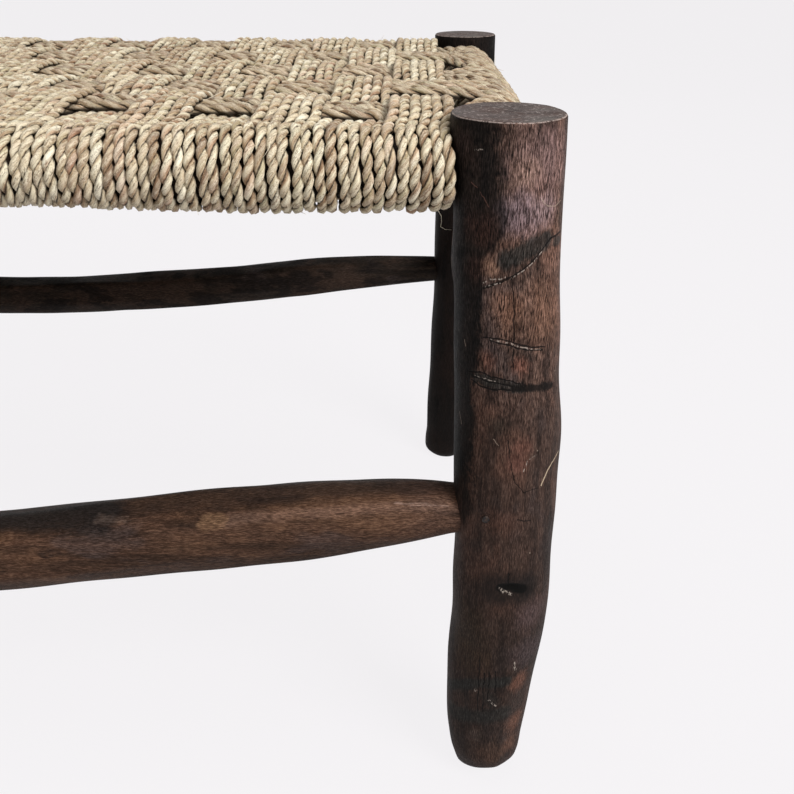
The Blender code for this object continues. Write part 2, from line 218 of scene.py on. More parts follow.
class Finish:
    """A material in the making, round its Principled shader, or the nodes of a world."""

    def __init__(self, name, kind="materials"):
        self.owner = getattr(bpy.data, kind).new(name)
        self.owner.use_nodes = True
        self.tree = self.owner.node_tree
        self.shader = self.tree.nodes.get("Principled BSDF")

    def node(self, kind, settings=None, values=None, output=0):
        """Any node: its settings first, then the values or links of its sockets."""
        made = self.tree.nodes.new("ShaderNode" + kind)
        for key, value in (settings or {}).items():
            if key == "stops":
                elements = made.color_ramp.elements
                while len(elements) < len(value):
                    elements.new(0.5)
                for element, (position, colour) in zip(elements, value):
                    element.position, element.color = position, colour
            else:
                setattr(made, key, value)
        for key, value in (values or {}).items():
            self.feed(made.inputs[key], value)
        return Shade(self, made.outputs[output])

    def feed(self, socket, value):
        """Link a shade to a socket, or set a plain value on it."""
        if isinstance(value, Shade):
            self.tree.links.new(value.socket, socket)
        else:
            socket.default_value = value

    def math(self, operation, *values):
        return self.node("Math", {"operation": operation}, dict(enumerate(values)))

    def vector(self, operation, *values, output=0):
        return self.node("VectorMath", {"operation": operation}, dict(enumerate(values)), output)

    def mix(self, share, one, other):
        """From one colour at share 0 to the other at share 1."""
        return self.node("Mix", {"data_type": "RGBA"}, {0: share, 6: one, 7: other}, 2)

    def fade(self, value, start, end):
        """0 at start and before, 1 at end and after, eased between."""
        values = {"Value": value, "From Min": start, "From Max": end}
        return self.node("MapRange", {"interpolation_type": "SMOOTHSTEP"}, values)

    def stained(self, colour, *stains):
        """A colour under stains: each a tone, its share, and a value with its start and end as for fade."""
        for tone, share, value, start, end in stains:
            colour = self.mix(self.fade(value, start, end) * share, colour, paint(*tone))
        return colour

    def place(self):
        """Where a point is on the bench."""
        return self.node("TexCoord", {}, {}, "Object")

    def axis(self, place, name):
        return self.node("SeparateXYZ", {}, {0: place}, name)

    def ray(self, kind):
        """1 where a ray of this kind arrives, 0 for others."""
        return self.node("LightPath", {}, {}, f"Is {kind} Ray")

    def noise(self, place, stretch, detail=2.0, roughness=0.5):
        """Noise on a place that is stretched along its axes."""
        spread = self.vector("MULTIPLY", place, stretch)
        values = {"Vector": spread, "Scale": 1.0, "Detail": detail, "Roughness": roughness}
        return self.node("TexNoise", {}, values, "Fac")

    def near_line(self, place, start, end):
        """Distance of a place from a straight line between two points."""
        start, end = Vector(start), Vector(end)
        run = end - start
        from_start = self.vector("SUBTRACT", place, tuple(start))
        share = self.vector("DOT_PRODUCT", from_start, tuple(run / run.length_squared), output=1)
        held = self.node("Clamp", {}, {"Value": share})
        foot = self.node("VectorMath", {"operation": "SCALE"}, {0: tuple(run), "Scale": held})
        return self.vector("DISTANCE", from_start, foot, output=1)

    def done(self, colour, roughness, height=None, strength=1.0, depth=0.001, specular=0.5, metallic=0.0):
        """Feed the shader and return the material."""
        inputs = self.shader.inputs
        inputs["Specular IOR Level"].default_value = specular
        inputs["Metallic"].default_value = metallic
        self.feed(inputs["Base Color"], colour)
        self.feed(inputs["Roughness"], roughness)
        if height is not None:
            values = {"Height": height, "Strength": strength, "Distance": depth}
            self.feed(inputs["Normal"], self.node("Bump", {}, values))
        return self.owner


# Finishes


def stained_branch(name, grain, seed, tones, black, fleck, marks=None):
    """Dark stained branch wood: short fibres in long grain, warm and grey patches, soot-black stain.

    Grain is 0, 1 or 2 for wood that runs along X, Y or Z. Tones are the deep, middle and warm colours.
    Black is how much of it is sooty, and fleck how strongly its fibres show.
    """
    wood = Finish(name)
    place = wood.vector("ADD", wood.place(), (seed * 0.37, seed * 0.21, seed * 0.13))

    def run(across, along):
        stretch = [across] * 3
        stretch[grain] = along
        return tuple(stretch)

    wave = wood.noise(place, run(34, 12), 2) - 0.5
    sway = wood.node("CombineXYZ", {}, {axis: wave * 0.007 for axis in range(3)})
    swayed = wood.vector("ADD", place, sway)
    figure = wood.noise(swayed, run(170, 8), 3, 0.6)
    fibre = wood.noise(swayed, run(1500, 165), 3, 0.65)
    pores = wood.noise(swayed, run(2200, 300), 2, 0.6)
    patch = wood.noise(place, run(30, 15), 3, 0.6)
    stain = wood.noise(place, run(38, 19), 4, 0.65)
    deep, middle, warm = tones
    colour = wood.mix(wood.fade(figure, 0.38, 0.64), deep, middle)
    colour = wood.mix(wood.fade(patch, 0.47, 0.62) * 0.8, colour, warm)
    colour = wood.stained(colour, ((60, 51, 50), 0.4, patch, 0.44, 0.34))
    if grain == 2:
        # Legs are smoother towards the foot
        up = wood.axis(wood.place(), "Z")
        fleck = wood.fade(up, 0.24, 0.34) * (fleck * 0.45) + fleck * 0.55
    light = (wood.fade(fibre, 0.54, 0.59) * 0.5 + wood.fade(pores, 0.55, 0.59) * 0.7) * fleck
    dark = (wood.fade(fibre, 0.47, 0.42) * 0.5 + wood.fade(pores, 0.46, 0.42) * 0.6) * fleck
    soot = wood.fade(stain, 0.66 - 0.24 * black, 0.74 - 0.24 * black)
    colour = wood.mix(soot * 0.78, colour, paint(24, 19, 17))
    rough = 0.66 - light * 0.2 + soot * 0.1
    height = fibre * 0.5 + pores * 0.5

    def flecked(colour):
        """Lighter and darker fibres on a colour, the lighter ones greyer too."""
        strength = 1.02 + light * 1.75 - dark * 0.95
        green, blue = strength + light * 0.22, strength + light * 0.32
        cast = wood.node("CombineXYZ", {}, {0: strength, 1: green, 2: blue})
        return wood.vector("MULTIPLY", colour, cast)

    if marks:
        colour, height = marks(wood, colour, height, flecked)
    else:
        colour = flecked(colour)
    return wood.done(colour, rough, height, 0.6, 0.0008, specular=0.08)


def front_right_marks(wood, colour, height, flecked):
    """Cracks, charred bands, a knot, stains and scratches on the front right leg, and painted shade down its
    inner side.
    """
    place = wood.place()
    across, deep, up = (wood.axis(place, name) for name in "XYZ")
    _, _, _, crook_x, crook_y, _ = LEGS["front_right"]
    stops = [(share, (bend, bend, bend, 1.0)) for share, bend in LEG_BEND]
    bend = wood.node("ValToRGB", {"stops": stops}, {0: up / LEG_HEIGHT})
    # Angle round the leg's own axis, from -270 to 90 degrees, with -90 at the front
    outward, forward = across - HALF_LENGTH - bend * crook_x, bend * crook_y - deep - HALF_DEPTH
    turn = wood.math("ARCTAN2", outward, forward) - pi / 2
    # A flat map of the leg's skin: along the girth, and up
    wobble = wood.noise(place, (150, 150, 150), 3, 0.6) - 0.5
    broad = wood.noise(place, (46, 46, 30), 3, 0.6) - 0.5
    fine = wood.noise(place, (900, 900, 420), 2) - 0.5
    girth, rise = turn * LEG_RADIUS + wobble * 0.003, up + wobble * 0.003
    skin = wood.node("CombineXYZ", {}, {0: girth, 1: rise, 2: 0.0})

    def spot(degrees, z):
        return (radians(degrees) * LEG_RADIUS, z, 0.0)

    def near(points):
        """Distance from a line through (angle, height) points."""
        spots = [spot(*point) for point in points]
        distance = wood.near_line(skin, *spots[:2])
        for one, other in zip(spots[1:], spots[2:]):
            distance = wood.math("MINIMUM", distance, wood.near_line(skin, one, other))
        return distance

    def drawn(lines):
        """Share of thin lines, each a width and its points."""
        strongest = None
        for width, *points in lines:
            line = wood.fade(near(points) + fine * width, width, width * 0.4)
            strongest = line if strongest is None else wood.math("MAXIMUM", strongest, line)
        return strongest

    def patched(colour, patches):
        """Soft patches, each an angle, height, size, share and tone."""
        for degrees, z, size, share, tone in patches:
            patch = wood.vector("DISTANCE", skin, spot(degrees, z), output=1)
            patch = patch + broad * size * 1.3 + fine * 0.006
            colour = wood.stained(colour, (tone, share, patch, size, size * 0.2))
        return colour

    # Dark clouds, and deeper stain towards the foot
    colour = wood.stained(
        colour,
        ((30, 23, 20), 0.4, broad, 0.03, 0.16),
        ((28, 21, 18), 0.36, up + broad * 0.04, 0.318, 0.268),
        ((28, 21, 18), 0.6, up + broad * 0.08, 0.25, 0.12),
    )
    # Maroon and purplish bloom below the seat, warm wood between the cracks, olive and red towards the foot
    colour = patched(colour, (
        (-58, 0.428, 0.03, 0.6, (106, 82, 78)), (-76, 0.424, 0.012, 0.25, (132, 104, 88)),
        (-80, 0.401, 0.018, 0.6, (90, 76, 80)), (-60, 0.402, 0.014, 0.5, (104, 86, 86)),
        (-62, 0.345, 0.03, 0.4, (108, 76, 60)), (-98, 0.352, 0.014, 0.45, (104, 72, 56)),
        (-112, 0.3724, 0.008, 0.6, (116, 86, 70)), (-117, 0.3195, 0.009, 0.5, (94, 60, 48)),
        (-81, 0.3174, 0.009, 0.5, (104, 66, 54)), (-104, 0.279, 0.012, 0.6, (34, 29, 24)),
        (-81, 0.2669, 0.009, 0.45, (96, 62, 52)), (-85, 0.2567, 0.009, 0.4, (92, 58, 50)),
        (-100, 0.2172, 0.014, 0.4, (80, 54, 44)), (-57, 0.148, 0.02, 0.55, (66, 53, 53)),
        (-54, 0.114, 0.018, 0.55, (62, 50, 50)), (-140, 0.132, 0.026, 0.55, (48, 36, 26)),
        (-137, 0.107, 0.022, 0.5, (50, 36, 25)), (-61, 0.0935, 0.012, 0.6, (92, 60, 47)),
        (-55, 0.054, 0.013, 0.6, (94, 62, 48)), (-58, 0.035, 0.011, 0.55, (90, 62, 49)),
        (-86, 0.0318, 0.013, 0.4, (70, 51, 41)), (-115, 0.047, 0.007, 0.3, (74, 64, 58)),
    ))
    # Black down the leg's inner side, partly a stain and partly painted shade, narrower below the long crack
    # and below the charred band
    edge = turn + wobble * 0.4 + broad * 0.7 + fine * 0.3
    edge = edge + wood.fade(up, 0.386, 0.374) * 0.35 + wood.fade(up, 0.318, 0.305) * 0.23
    inner = wood.fade(edge, radians(-94), radians(-109)) * wood.fade(up, 0.19, 0.25)
    inner = inner * wood.fade(edge, radians(-250), radians(-205))
    inner = inner * (0.95 - wood.fade(up, 0.34, 0.4) * 0.09 + broad * 0.3)
    colour = wood.mix(inner, colour, paint(9, 8, 7))
    colour = patched(colour, (
        (-124, 0.392, 0.014, 0.4, (50, 30, 24)), (-129, 0.37, 0.011, 0.4, (48, 30, 24)),
        (-146, 0.436, 0.01, 0.35, (46, 34, 32)),
    ))
    # Grey-black patches above the long crack, over the charred band, and across the foot
    for width, share, *points in (
        (0.0078, 0.85, (-96, 0.3772), (-70, 0.3832), (-54, 0.3862)),
        (0.0034, 0.8, (-36, 0.3838), (-26, 0.3832)),
        (0.0046, 0.8, (-126, 0.3072), (-100, 0.3058), (-82, 0.304)),
        (0.006, 0.85, (-169, 0.0721), (-116, 0.0923), (-81, 0.0968)),
        (0.009, 0.75, (-150, 0.0566), (-108, 0.0633), (-79, 0.0689)),
        (0.008, 0.5, (-104, 0.084), (-96, 0.08)),
    ):
        shade = near(points) + fine * 0.005 + broad * width * 0.6
        colour = wood.stained(colour, ((31, 30, 28), share, shade, width, width * 0.4))
    colour = flecked(colour)
    # Long crack, cracks below it, charred band, drying cracks, and scores by the foot
    dark = drawn((
        (0.0009, (-25, 0.3876), (-46, 0.3858), (-52, 0.3832)),
        (0.0005, (-52, 0.3832), (-67, 0.3768), (-90, 0.3683)),
        (0.0009, (-90, 0.3683), (-104, 0.3646), (-120, 0.3605)),
        (0.0006, (-120, 0.3322), (-102, 0.3324), (-88, 0.3307), (-53, 0.326)),
        (0.0006, (-114, 0.3309), (-92, 0.3287), (-55, 0.3246)),
        (0.0006, (-140, 0.3091), (-124, 0.3111), (-106, 0.3097), (-81, 0.3066)),
        (0.0006, (-136, 0.3075), (-104, 0.3062), (-84, 0.3045)),
        (0.0007, (-134, 0.3048), (-124, 0.3028), (-102, 0.3027), (-81, 0.3029)),
        (0.003, (-87, 0.3037), (-65, 0.303), (-39, 0.3003)),
        (0.0004, (-92, 0.3677), (-89, 0.36), (-88, 0.3488), (-88, 0.316)),
        (0.0003, (-94, 0.272), (-91, 0.2593), (-88, 0.2462), (-76, 0.2376), (-58, 0.238)),
        (0.0005, (-83, 0.219), (-67, 0.2175)),
        (0.0009, (-89, 0.1814), (-90, 0.174)),
        (0.0005, (-117, 0.1137), (-113, 0.0666)),
        (0.0005, (-109, 0.102), (-106, 0.0692)),
        (0.0005, (-103, 0.1031), (-101, 0.0785)),
        (0.0005, (-96, 0.105), (-93, 0.0874)),
    ))
    colour = wood.mix(dark * 0.9, colour, paint(13, 10, 9))
    # Knot and the stain round it
    knot = near(((-97, 0.1697), (-86, 0.1706), (-73, 0.1688)))
    colour = wood.stained(
        colour,
        ((22, 19, 18), 0.8, knot + fine * 0.004 + broad * 0.01, 0.018, 0.006),
        ((9, 8, 7), 1.0, knot, 0.004, 0.0024),
    )
    # Pale torn wood in the cracks, scratches, flakes and hairs
    torn = drawn((
        (0.0006, (-120, 0.3633), (-113, 0.3657), (-98, 0.3675)),
        (0.0006, (-118, 0.3614), (-102, 0.3647)),
        (0.0005, (-56, 0.3806), (-67, 0.3758), (-92, 0.3669)),
        (0.0006, (-112, 0.3317), (-90, 0.3298), (-58, 0.3254)),
        (0.0004, (-130, 0.3081), (-104, 0.3074)),
        (0.0011, (-99, 0.169), (-94, 0.167), (-84, 0.1656)),
        (0.0005, (-130, 0.433), (-122, 0.4336)),
        (0.0005, (-77, 0.2512), (-72, 0.2584), (-62, 0.2599)),
        (0.001, (-74, 0.1115), (-71, 0.105)),
        (0.0011, (-119, 0.0857), (-118, 0.0853)),
        (0.0012, (-100, 0.0797), (-91, 0.0757)),
    )) * wood.fade(fine, -0.05, 0.07)
    colour = wood.mix(torn * 0.65, colour, paint(170, 157, 146))
    for share, tone, lines in (
        (0.42, (112, 80, 70), (
            (0.0004, (-133, 0.4165), (-127, 0.4139)),
            (0.0004, (-123.5, 0.412), (-114.5, 0.4049)),
        )),
        (0.5, (168, 150, 134), (
            (0.00035, (-61, 0.4085), (-56, 0.4052), (-49, 0.4038), (-39, 0.4035), (-29, 0.4045)),
            (0.0006, (-61, 0.2626), (-61, 0.2624)),
            (0.0006, (-31, 0.3074), (-31, 0.3072)),
            (0.0006, (-66, 0.1944), (-66, 0.1942)),
            (0.0003, (-159, 0.2786), (-154, 0.2721)),
            (0.0003, (-146, 0.3267), (-144, 0.3233)),
            (0.0003, (-110, 0.2707), (-104, 0.2673)),
        )),
        (0.8, (180, 160, 136), (
            (0.0007, (-18, 0.2527), (-36, 0.2492), (-44, 0.2457), (-53, 0.2383)),
        )),
    ):
        colour = wood.mix(drawn(lines) * share, colour, paint(*tone))
    return colour, height - dark * 2.2 + torn * 0.6


def cut_top(wood, colour):
    """The sawn end of a leg: grey-brown end grain, with a paler rim round it that is a painted highlight."""
    place = wood.place()
    up = wood.axis(place, "Z")
    saw = wood.noise(place, (70, 900, 10), 3, 0.6)
    speck = wood.noise(place, (620, 620, 10), 2, 0.6)
    blotch = wood.noise(place, (44, 60, 10), 3, 0.6)
    end = wood.mix(wood.fade(saw, 0.36, 0.66), paint(68, 60, 58), paint(97, 87, 84))
    end = wood.stained(
        end,
        ((80, 63, 57), 0.55, blotch, 0.47, 0.6),
        ((98, 97, 92), 0.35, blotch, 0.46, 0.36),
        ((160, 150, 144), 0.7, speck, 0.56, 0.68),
    )
    top = wood.fade(up, LEG_HEIGHT - 0.0006, LEG_HEIGHT - 0.0002)
    colour = wood.mix(top, colour, end)
    # Painted highlight: a thin paler rim round the sawn top
    rim = wood.fade(up, LEG_HEIGHT - 0.001, LEG_HEIGHT - 0.0006) * (1 - top)
    return wood.mix(rim * 0.8 * wood.fade(speck, 0.38, 0.52), colour, paint(166, 150, 142))


def front_right_leg(wood, colour, height, flecked):
    colour, height = front_right_marks(wood, colour, height, flecked)
    return cut_top(wood, colour), height


def other_leg(wood, colour, height, flecked):
    return cut_top(wood, flecked(colour)), height


def back_right_leg(wood, colour, height, flecked):
    """Black on the side that faces the front, under the seat: partly a stain and partly painted shade."""
    place = wood.place()
    deep = wood.axis(place, "Y") + (wood.noise(place, (60, 60, 24), 3, 0.6) - 0.5) * 0.012
    # Partly black stain, partly painted shade on the side that faces the front
    colour = wood.stained(colour, ((10, 8, 7), 0.93, deep, HALF_DEPTH + 0.02, HALF_DEPTH + 0.004))
    return other_leg(wood, colour, height, flecked)


def front_stretcher_marks(wood, colour, height, flecked):
    """Soot along the top of the front stretcher, painted shade along its underside, a worn spot, a painted
    highlight along a ridge, a paler end, and scrapes.
    """
    place = wood.place()
    along, deep, up = (wood.axis(place, name) for name in "XYZ")
    _, _, rise, _, _, _, _, bow = STRETCHERS["front"]
    swing = (along + FRONT_FREE_HALF) / (2 * FRONT_FREE_HALF)
    swing = wood.node("Clamp", {}, {"Value": swing, "Min": 0.001, "Max": 0.999})
    middle = rise - wood.math("SINE", swing * pi) ** BOW_POWER * bow
    turn = wood.math("ARCTAN2", up - middle, -1 * deep - HALF_DEPTH)
    wobble = wood.noise(place, (60, 160, 160), 3, 0.6) - 0.5
    fine = wood.noise(place, (260, 900, 900), 2) - 0.5
    streak = wood.noise(place, (9, 520, 520), 3, 0.6)
    ragged = turn + wobble * 0.5 + fine * 0.3
    colour = wood.stained(
        colour,
        ((40, 29, 23), 0.28, streak, 0.5, 0.64),
        ((98, 71, 56), 0.14, streak, 0.46, 0.36),
        ((30, 23, 20), 0.62, ragged, radians(58), radians(80)),
        # Painted shade: darker from the lower front round to the underside
        ((34, 25, 20), 0.45, ragged, radians(-12), radians(-50)),
        ((106, 79, 69), 0.15, along + wobble * 0.02, 0.385, 0.435),
    )
    # A flat map of the skin: along the run, and round it at a mean radius
    radius = 0.022
    girth = turn * radius + wobble * 0.006
    skin = wood.node("CombineXYZ", {}, {0: along + wobble * 0.008, 1: girth, 2: 0.0})
    # Painted highlight along a ridge, then scrapes, soot, scuff and worn spot, each along a line: places and
    # angles of its ends, fine and broad raggedness, tone, share, and the distances at which it starts and is
    # full
    for *ends, fray, sway, tone, share, outer, inner in (
        # Painted highlight along the hewn ridge
        ((0.3, 47), (0.44, 38), 0.004, 0.0, (118, 90, 76), 0.3, 0.006, 0.001),
        ((0.4, 50), (0.419, 47), 0.002, 0.0, (150, 124, 112), 0.3, 0.001, 0.0003),
        ((0.409, 43), (0.432, 40), 0.002, 0.0, (150, 124, 112), 0.3, 0.001, 0.0003),
        ((0.15, 95), (0.222, 74), 0.008, 0.008, (27, 24, 23), 0.82, 0.015, 0.006),
        ((0.218, 70), (0.236, 64), 0.006, 0.0, (128, 106, 94), 0.16, 0.0036, 0.0006),
        ((0.2865, 47.5), (0.2955, 47), 0.0012, 0.0, (112, 84, 62), 0.5, 0.0062, 0.0024),
    ):
        start, end = ((x, radians(degrees) * radius, 0.0) for x, degrees in ends)
        line = wood.near_line(skin, start, end) + fine * fray + wobble * sway
        colour = wood.stained(colour, (tone, share, line, outer, inner))
    return flecked(colour), height


def palm_rope(name, tones, seed):
    """Twisted palm leaf: strands of leaf strips that change colour along the rope, with painted highlights
    on the strands' crowns and painted shade in the grooves and in the hollows between the ropes.
    """
    rope = Finish(name)
    fibre = rope.node("Attribute", {"attribute_name": "fibre"}, {}, "Vector")
    crown = rope.axis(fibre, "Y")
    fibre = rope.vector("ADD", fibre, (seed * 11.3, 0.0, 0.0))
    lengths = rope.noise(fibre, (2.6, 60, 60), 2, 0.6)
    strips = rope.noise(fibre, (44, 300, 300), 2, 0.6)
    stops = list(zip((0.36, 0.43, 0.5, 0.57, 0.64), tones))
    colour = rope.node("ValToRGB", {"stops": stops}, {0: lengths * 0.85 + strips * 0.45 - 0.15})
    cast = rope.noise(rope.vector("ADD", fibre, (3.3, 0.0, 0.0)), (3.4, 90, 90), 2, 0.6)
    blotch = rope.noise(fibre, (30, 420, 420), 3, 0.65)
    vein = rope.noise(fibre, (60, 1700, 1700), 3, 0.65)
    from_edge = rope.math("ABSOLUTE", rope.noise(fibre, (34, 520, 520), 2, 0.55) - 0.5)
    proud = rope.node("Attribute", {"attribute_name": "proud"}, {}, "Fac")
    colour = rope.stained(
        colour,
        ((172, 130, 105), 0.55, cast, 0.55, 0.66),
        ((172, 165, 130), 0.5, cast, 0.46, 0.34),
        # Painted highlight: paler where a strand faces out from the rope
        ((232, 224, 203), 0.26, crown, 0.0004, 0.0017),
        ((128, 92, 64), 0.6, blotch, 0.59, 0.7),
        ((120, 92, 62), 0.45, vein, 0.48, 0.34),
        ((236, 226, 202), 0.4, vein, 0.54, 0.68),
        # Edges of the leaf strips, painted shade with some dust in the groove between the strands, painted
        # shade in the hollows between the ropes
        ((84, 60, 40), 0.62, from_edge, 0.02, 0.006),
        # Painted shade, with some dust, in the groove between the two strands
        ((40, 28, 18), 0.9, crown, 0.0, -0.001),
        # Painted shade in the hollows between neighbouring ropes, where a point lies low in its rope
        ((28, 20, 13), 0.9, proud, 0.0006, -0.0011),
    )
    edge = rope.fade(from_edge, 0.02, 0.006)
    return rope.done(colour, 0.74 - vein * 0.16, vein * 0.6 - edge * 0.8, 0.6, 0.0006, specular=0.3)


def loose_sliver():
    """A thin dry sliver of palm leaf."""
    sliver = Finish("loose_palm_sliver")
    patch = sliver.noise(sliver.place(), (60, 60, 60), 2)
    colour = sliver.mix(sliver.fade(patch, 0.36, 0.6), paint(158, 130, 98), paint(232, 222, 198))
    return sliver.done(colour, 0.75)


def nail_iron():
    """Old iron, nearly black, with rust in its pits."""
    iron = Finish("old_nail_iron")
    pits = iron.noise(iron.place(), (900, 900, 900), 4, 0.65)
    colour = iron.mix(iron.fade(pits, 0.46, 0.62), paint(34, 32, 32), paint(62, 47, 39))
    return iron.done(colour, 0.34 + pits * 0.3, pits, 0.5, 0.0004, metallic=0.6)


# Making pieces


def add_object(name, data):
    made = bpy.data.objects.new(name, data)
    bpy.context.scene.collection.objects.link(made)
    return made


def add_piece(name, mesh, material, nodes=()):
    """Put a finished mesh in the scene as a piece of the bench."""
    mesh.materials.clear()
    mesh.materials.append(material)
    mesh.shade_smooth()
    piece = add_object(name, mesh)
    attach(piece, "root")
    if nodes:
        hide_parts(*nodes)


def seal(bm):
    """Fill open ends and turn all faces outwards."""
    bmesh.ops.holes_fill(bm, edges=[edge for edge in bm.edges if edge.is_boundary], sides=0)
    bmesh.ops.recalc_face_normals(bm, faces=bm.faces)


def new_mesh(name, bm):
    """A mesh with what a bmesh holds, which is then freed."""
    mesh = bpy.data.meshes.new(name)
    bm.to_mesh(mesh)
    bm.free()
    return mesh


def unit(vectors):
    return vectors / np.linalg.norm(vectors, axis=-1, keepdims=True)


def flow(points, share):
    """A smooth curve through (share, value) points."""
    at, value = np.array(points, float).T
    slope = np.gradient(value, at)
    index = np.clip(np.searchsorted(at, share) - 1, 0, len(at) - 2)
    wide = at[index + 1] - at[index]
    t = np.clip((share - at[index]) / wide, 0, 1)
    t2, t3 = t * t, t * t * t
    ends = (2 * t3 - 3 * t2 + 1) * value[index] + (3 * t2 - 2 * t3) * value[index + 1]
    return ends + wide * ((t3 - 2 * t2 + t) * slope[index] + (t3 - t2) * slope[index + 1])


def eased(points, along):
    """Level at each (place, value) point, with eased steps between them."""
    at, value = np.array(points, float).T
    index = np.clip(np.searchsorted(at, along) - 1, 0, len(at) - 2)
    t = np.clip((along - at[index]) / (at[index + 1] - at[index]), 0, 1)
    return value[index] + (value[index + 1] - value[index]) * t * t * (3 - 2 * t)


def wander(along, amount, waves, seed):
    """A slow seeded drift along a length."""
    dice = Random(seed)
    drift = sum(np.sin(2 * pi * along / wave + dice.uniform(0, 6.28)) for wave in waves)
    return amount * drift / sqrt(len(waves))


def timber(name, sides, rings, shape):
    """A closed round mesh: a grid rolled up, with every point placed by shape(angle, ring number)."""
    bm = bmesh.new()
    bmesh.ops.create_grid(bm, x_segments=sides, y_segments=rings - 1, size=1.0)
    flat = np.array([vert.co for vert in bm.verts])
    angle = (flat[:, 0] + 1) * pi
    ring = np.rint((flat[:, 1] + 1) / 2 * (rings - 1)).astype(int)
    for vert, place in zip(bm.verts, shape(angle, ring)):
        vert.co = place
    bmesh.ops.remove_doubles(bm, verts=bm.verts, dist=MERGE)
    seal(bm)
    return new_mesh(name, bm)


def hewn(angle, along, flats, edge, seed):
    """Share of the radius for a branch that is hewn to flats, which face the given angles in degrees."""
    dice = Random(seed)
    total = np.zeros_like(angle)
    for flat in flats:
        middle = radians(flat) + wander(along, 0.1, (0.21, 0.33), dice.random())
        total += np.clip(np.cos(angle - middle), 0, 1) ** edge
    return total ** (-1 / edge)


def lumps(angle, along, seed, count):
    """A smooth bumpy skin, of about one unit up and down."""
    dice = Random(seed)
    total = np.zeros_like(angle)
    for _ in range(count):
        turns = dice.choice((1, 2, 2, 3, 3, 4, 5))
        wave = dice.uniform(0.05, 0.22)
        start = dice.uniform(0, 6.28)
        total += np.sin(turns * angle + 2 * pi * along / wave + start) / (turns ** 0.5)
    return total / sqrt(count / 2)


def uneven(angle, along, seed, skin):
    """How far a branch's skin stands out, as a share of its radius: lumps and hewn flats."""
    count, high, flats, edge, depth, mean, step = skin
    flat = hewn(angle, along, flats, edge, seed + step) - mean
    return high * lumps(angle, along, seed, count) + depth * flat


def dent(angle, along, at, place, radius, wide, high):
    """A round dent or bump of unit height on the skin, at an angle in degrees and a place along."""
    round_way = (angle - radians(at) + pi) % (2 * pi) - pi
    return np.exp(-((round_way * radius / wide) ** 2) - ((along - place) / high) ** 2)


# The frame


def leg_axis(leg, z):
    """Centre of a leg at a height."""
    side_x, side_y, _, crook_x, crook_y, kick = LEGS[leg]
    share = z / LEG_HEIGHT
    bend = np.interp(share, *np.array(LEG_BEND).T)
    swing = crook_x * bend + kick * np.interp(share, *np.array(LEG_KICK).T)
    return side_x * HALF_LENGTH + swing, side_y * HALF_DEPTH + crook_y * bend


def leg_thickness(leg, z):
    """Radius of a leg at a height."""
    return LEG_RADIUS * LEGS[leg][2] * np.interp(z / LEG_HEIGHT, *np.array(LEG_GIRTH).T)


# Skin of the legs and of the stretchers: count and height of its lumps, the way that each hewn flat faces in
# degrees, sharpness and depth of the flats, their mean, and the step from the lumps' seed to the flats' seed
LEG_SKIN = (7, 0.016, (-172, -131, -98, -52, -20, 22, 57, 88, 128, 161), 26, 0.35, 1.012, 1)
STRETCHER_SKIN = (8, 0.02, (-155, -112, -70, -28, 14, 76, 118, 165), 30, 0.75, 1.022, 3)
# Knots and dents on each leg: angle in degrees, height, width, length and depth, in metres
LEG_DENTS = {
    "front_right": ((-85.5, 0.1698, 0.0075, 0.0038, -0.0034), (-86, 0.17, 0.014, 0.01, 0.0012),
                    (-116.2, 0.2165, 0.0036, 0.0034, -0.002), (-84, 0.384, 0.018, 0.006, -0.0007),
                    (-60, 0.06, 0.012, 0.05, -0.0012), (-140, 0.1, 0.01, 0.03, -0.0008),
                    (0, 0.075, 0.03, 0.085, -0.0026), (180, 0.06, 0.02, 0.07, 0.0011)),
    "front_left": ((-70, 0.3, 0.006, 0.005, -0.0028), (-70, 0.3, 0.013, 0.012, 0.0013),
                   (-110, 0.12, 0.014, 0.05, -0.0011), (150, 0.22, 0.008, 0.007, -0.002)),
    "back_right": ((40, 0.33, 0.006, 0.005, -0.0024), (40, 0.33, 0.013, 0.012, 0.0014),
                   (100, 0.15, 0.015, 0.06, -0.001), (180, 0.004, 0.03, 0.02, 0.0042)),
    "back_left": ((120, 0.19, 0.006, 0.005, -0.0026), (120, 0.19, 0.013, 0.011, 0.0013),
                  (60, 0.36, 0.012, 0.04, -0.001)),
}


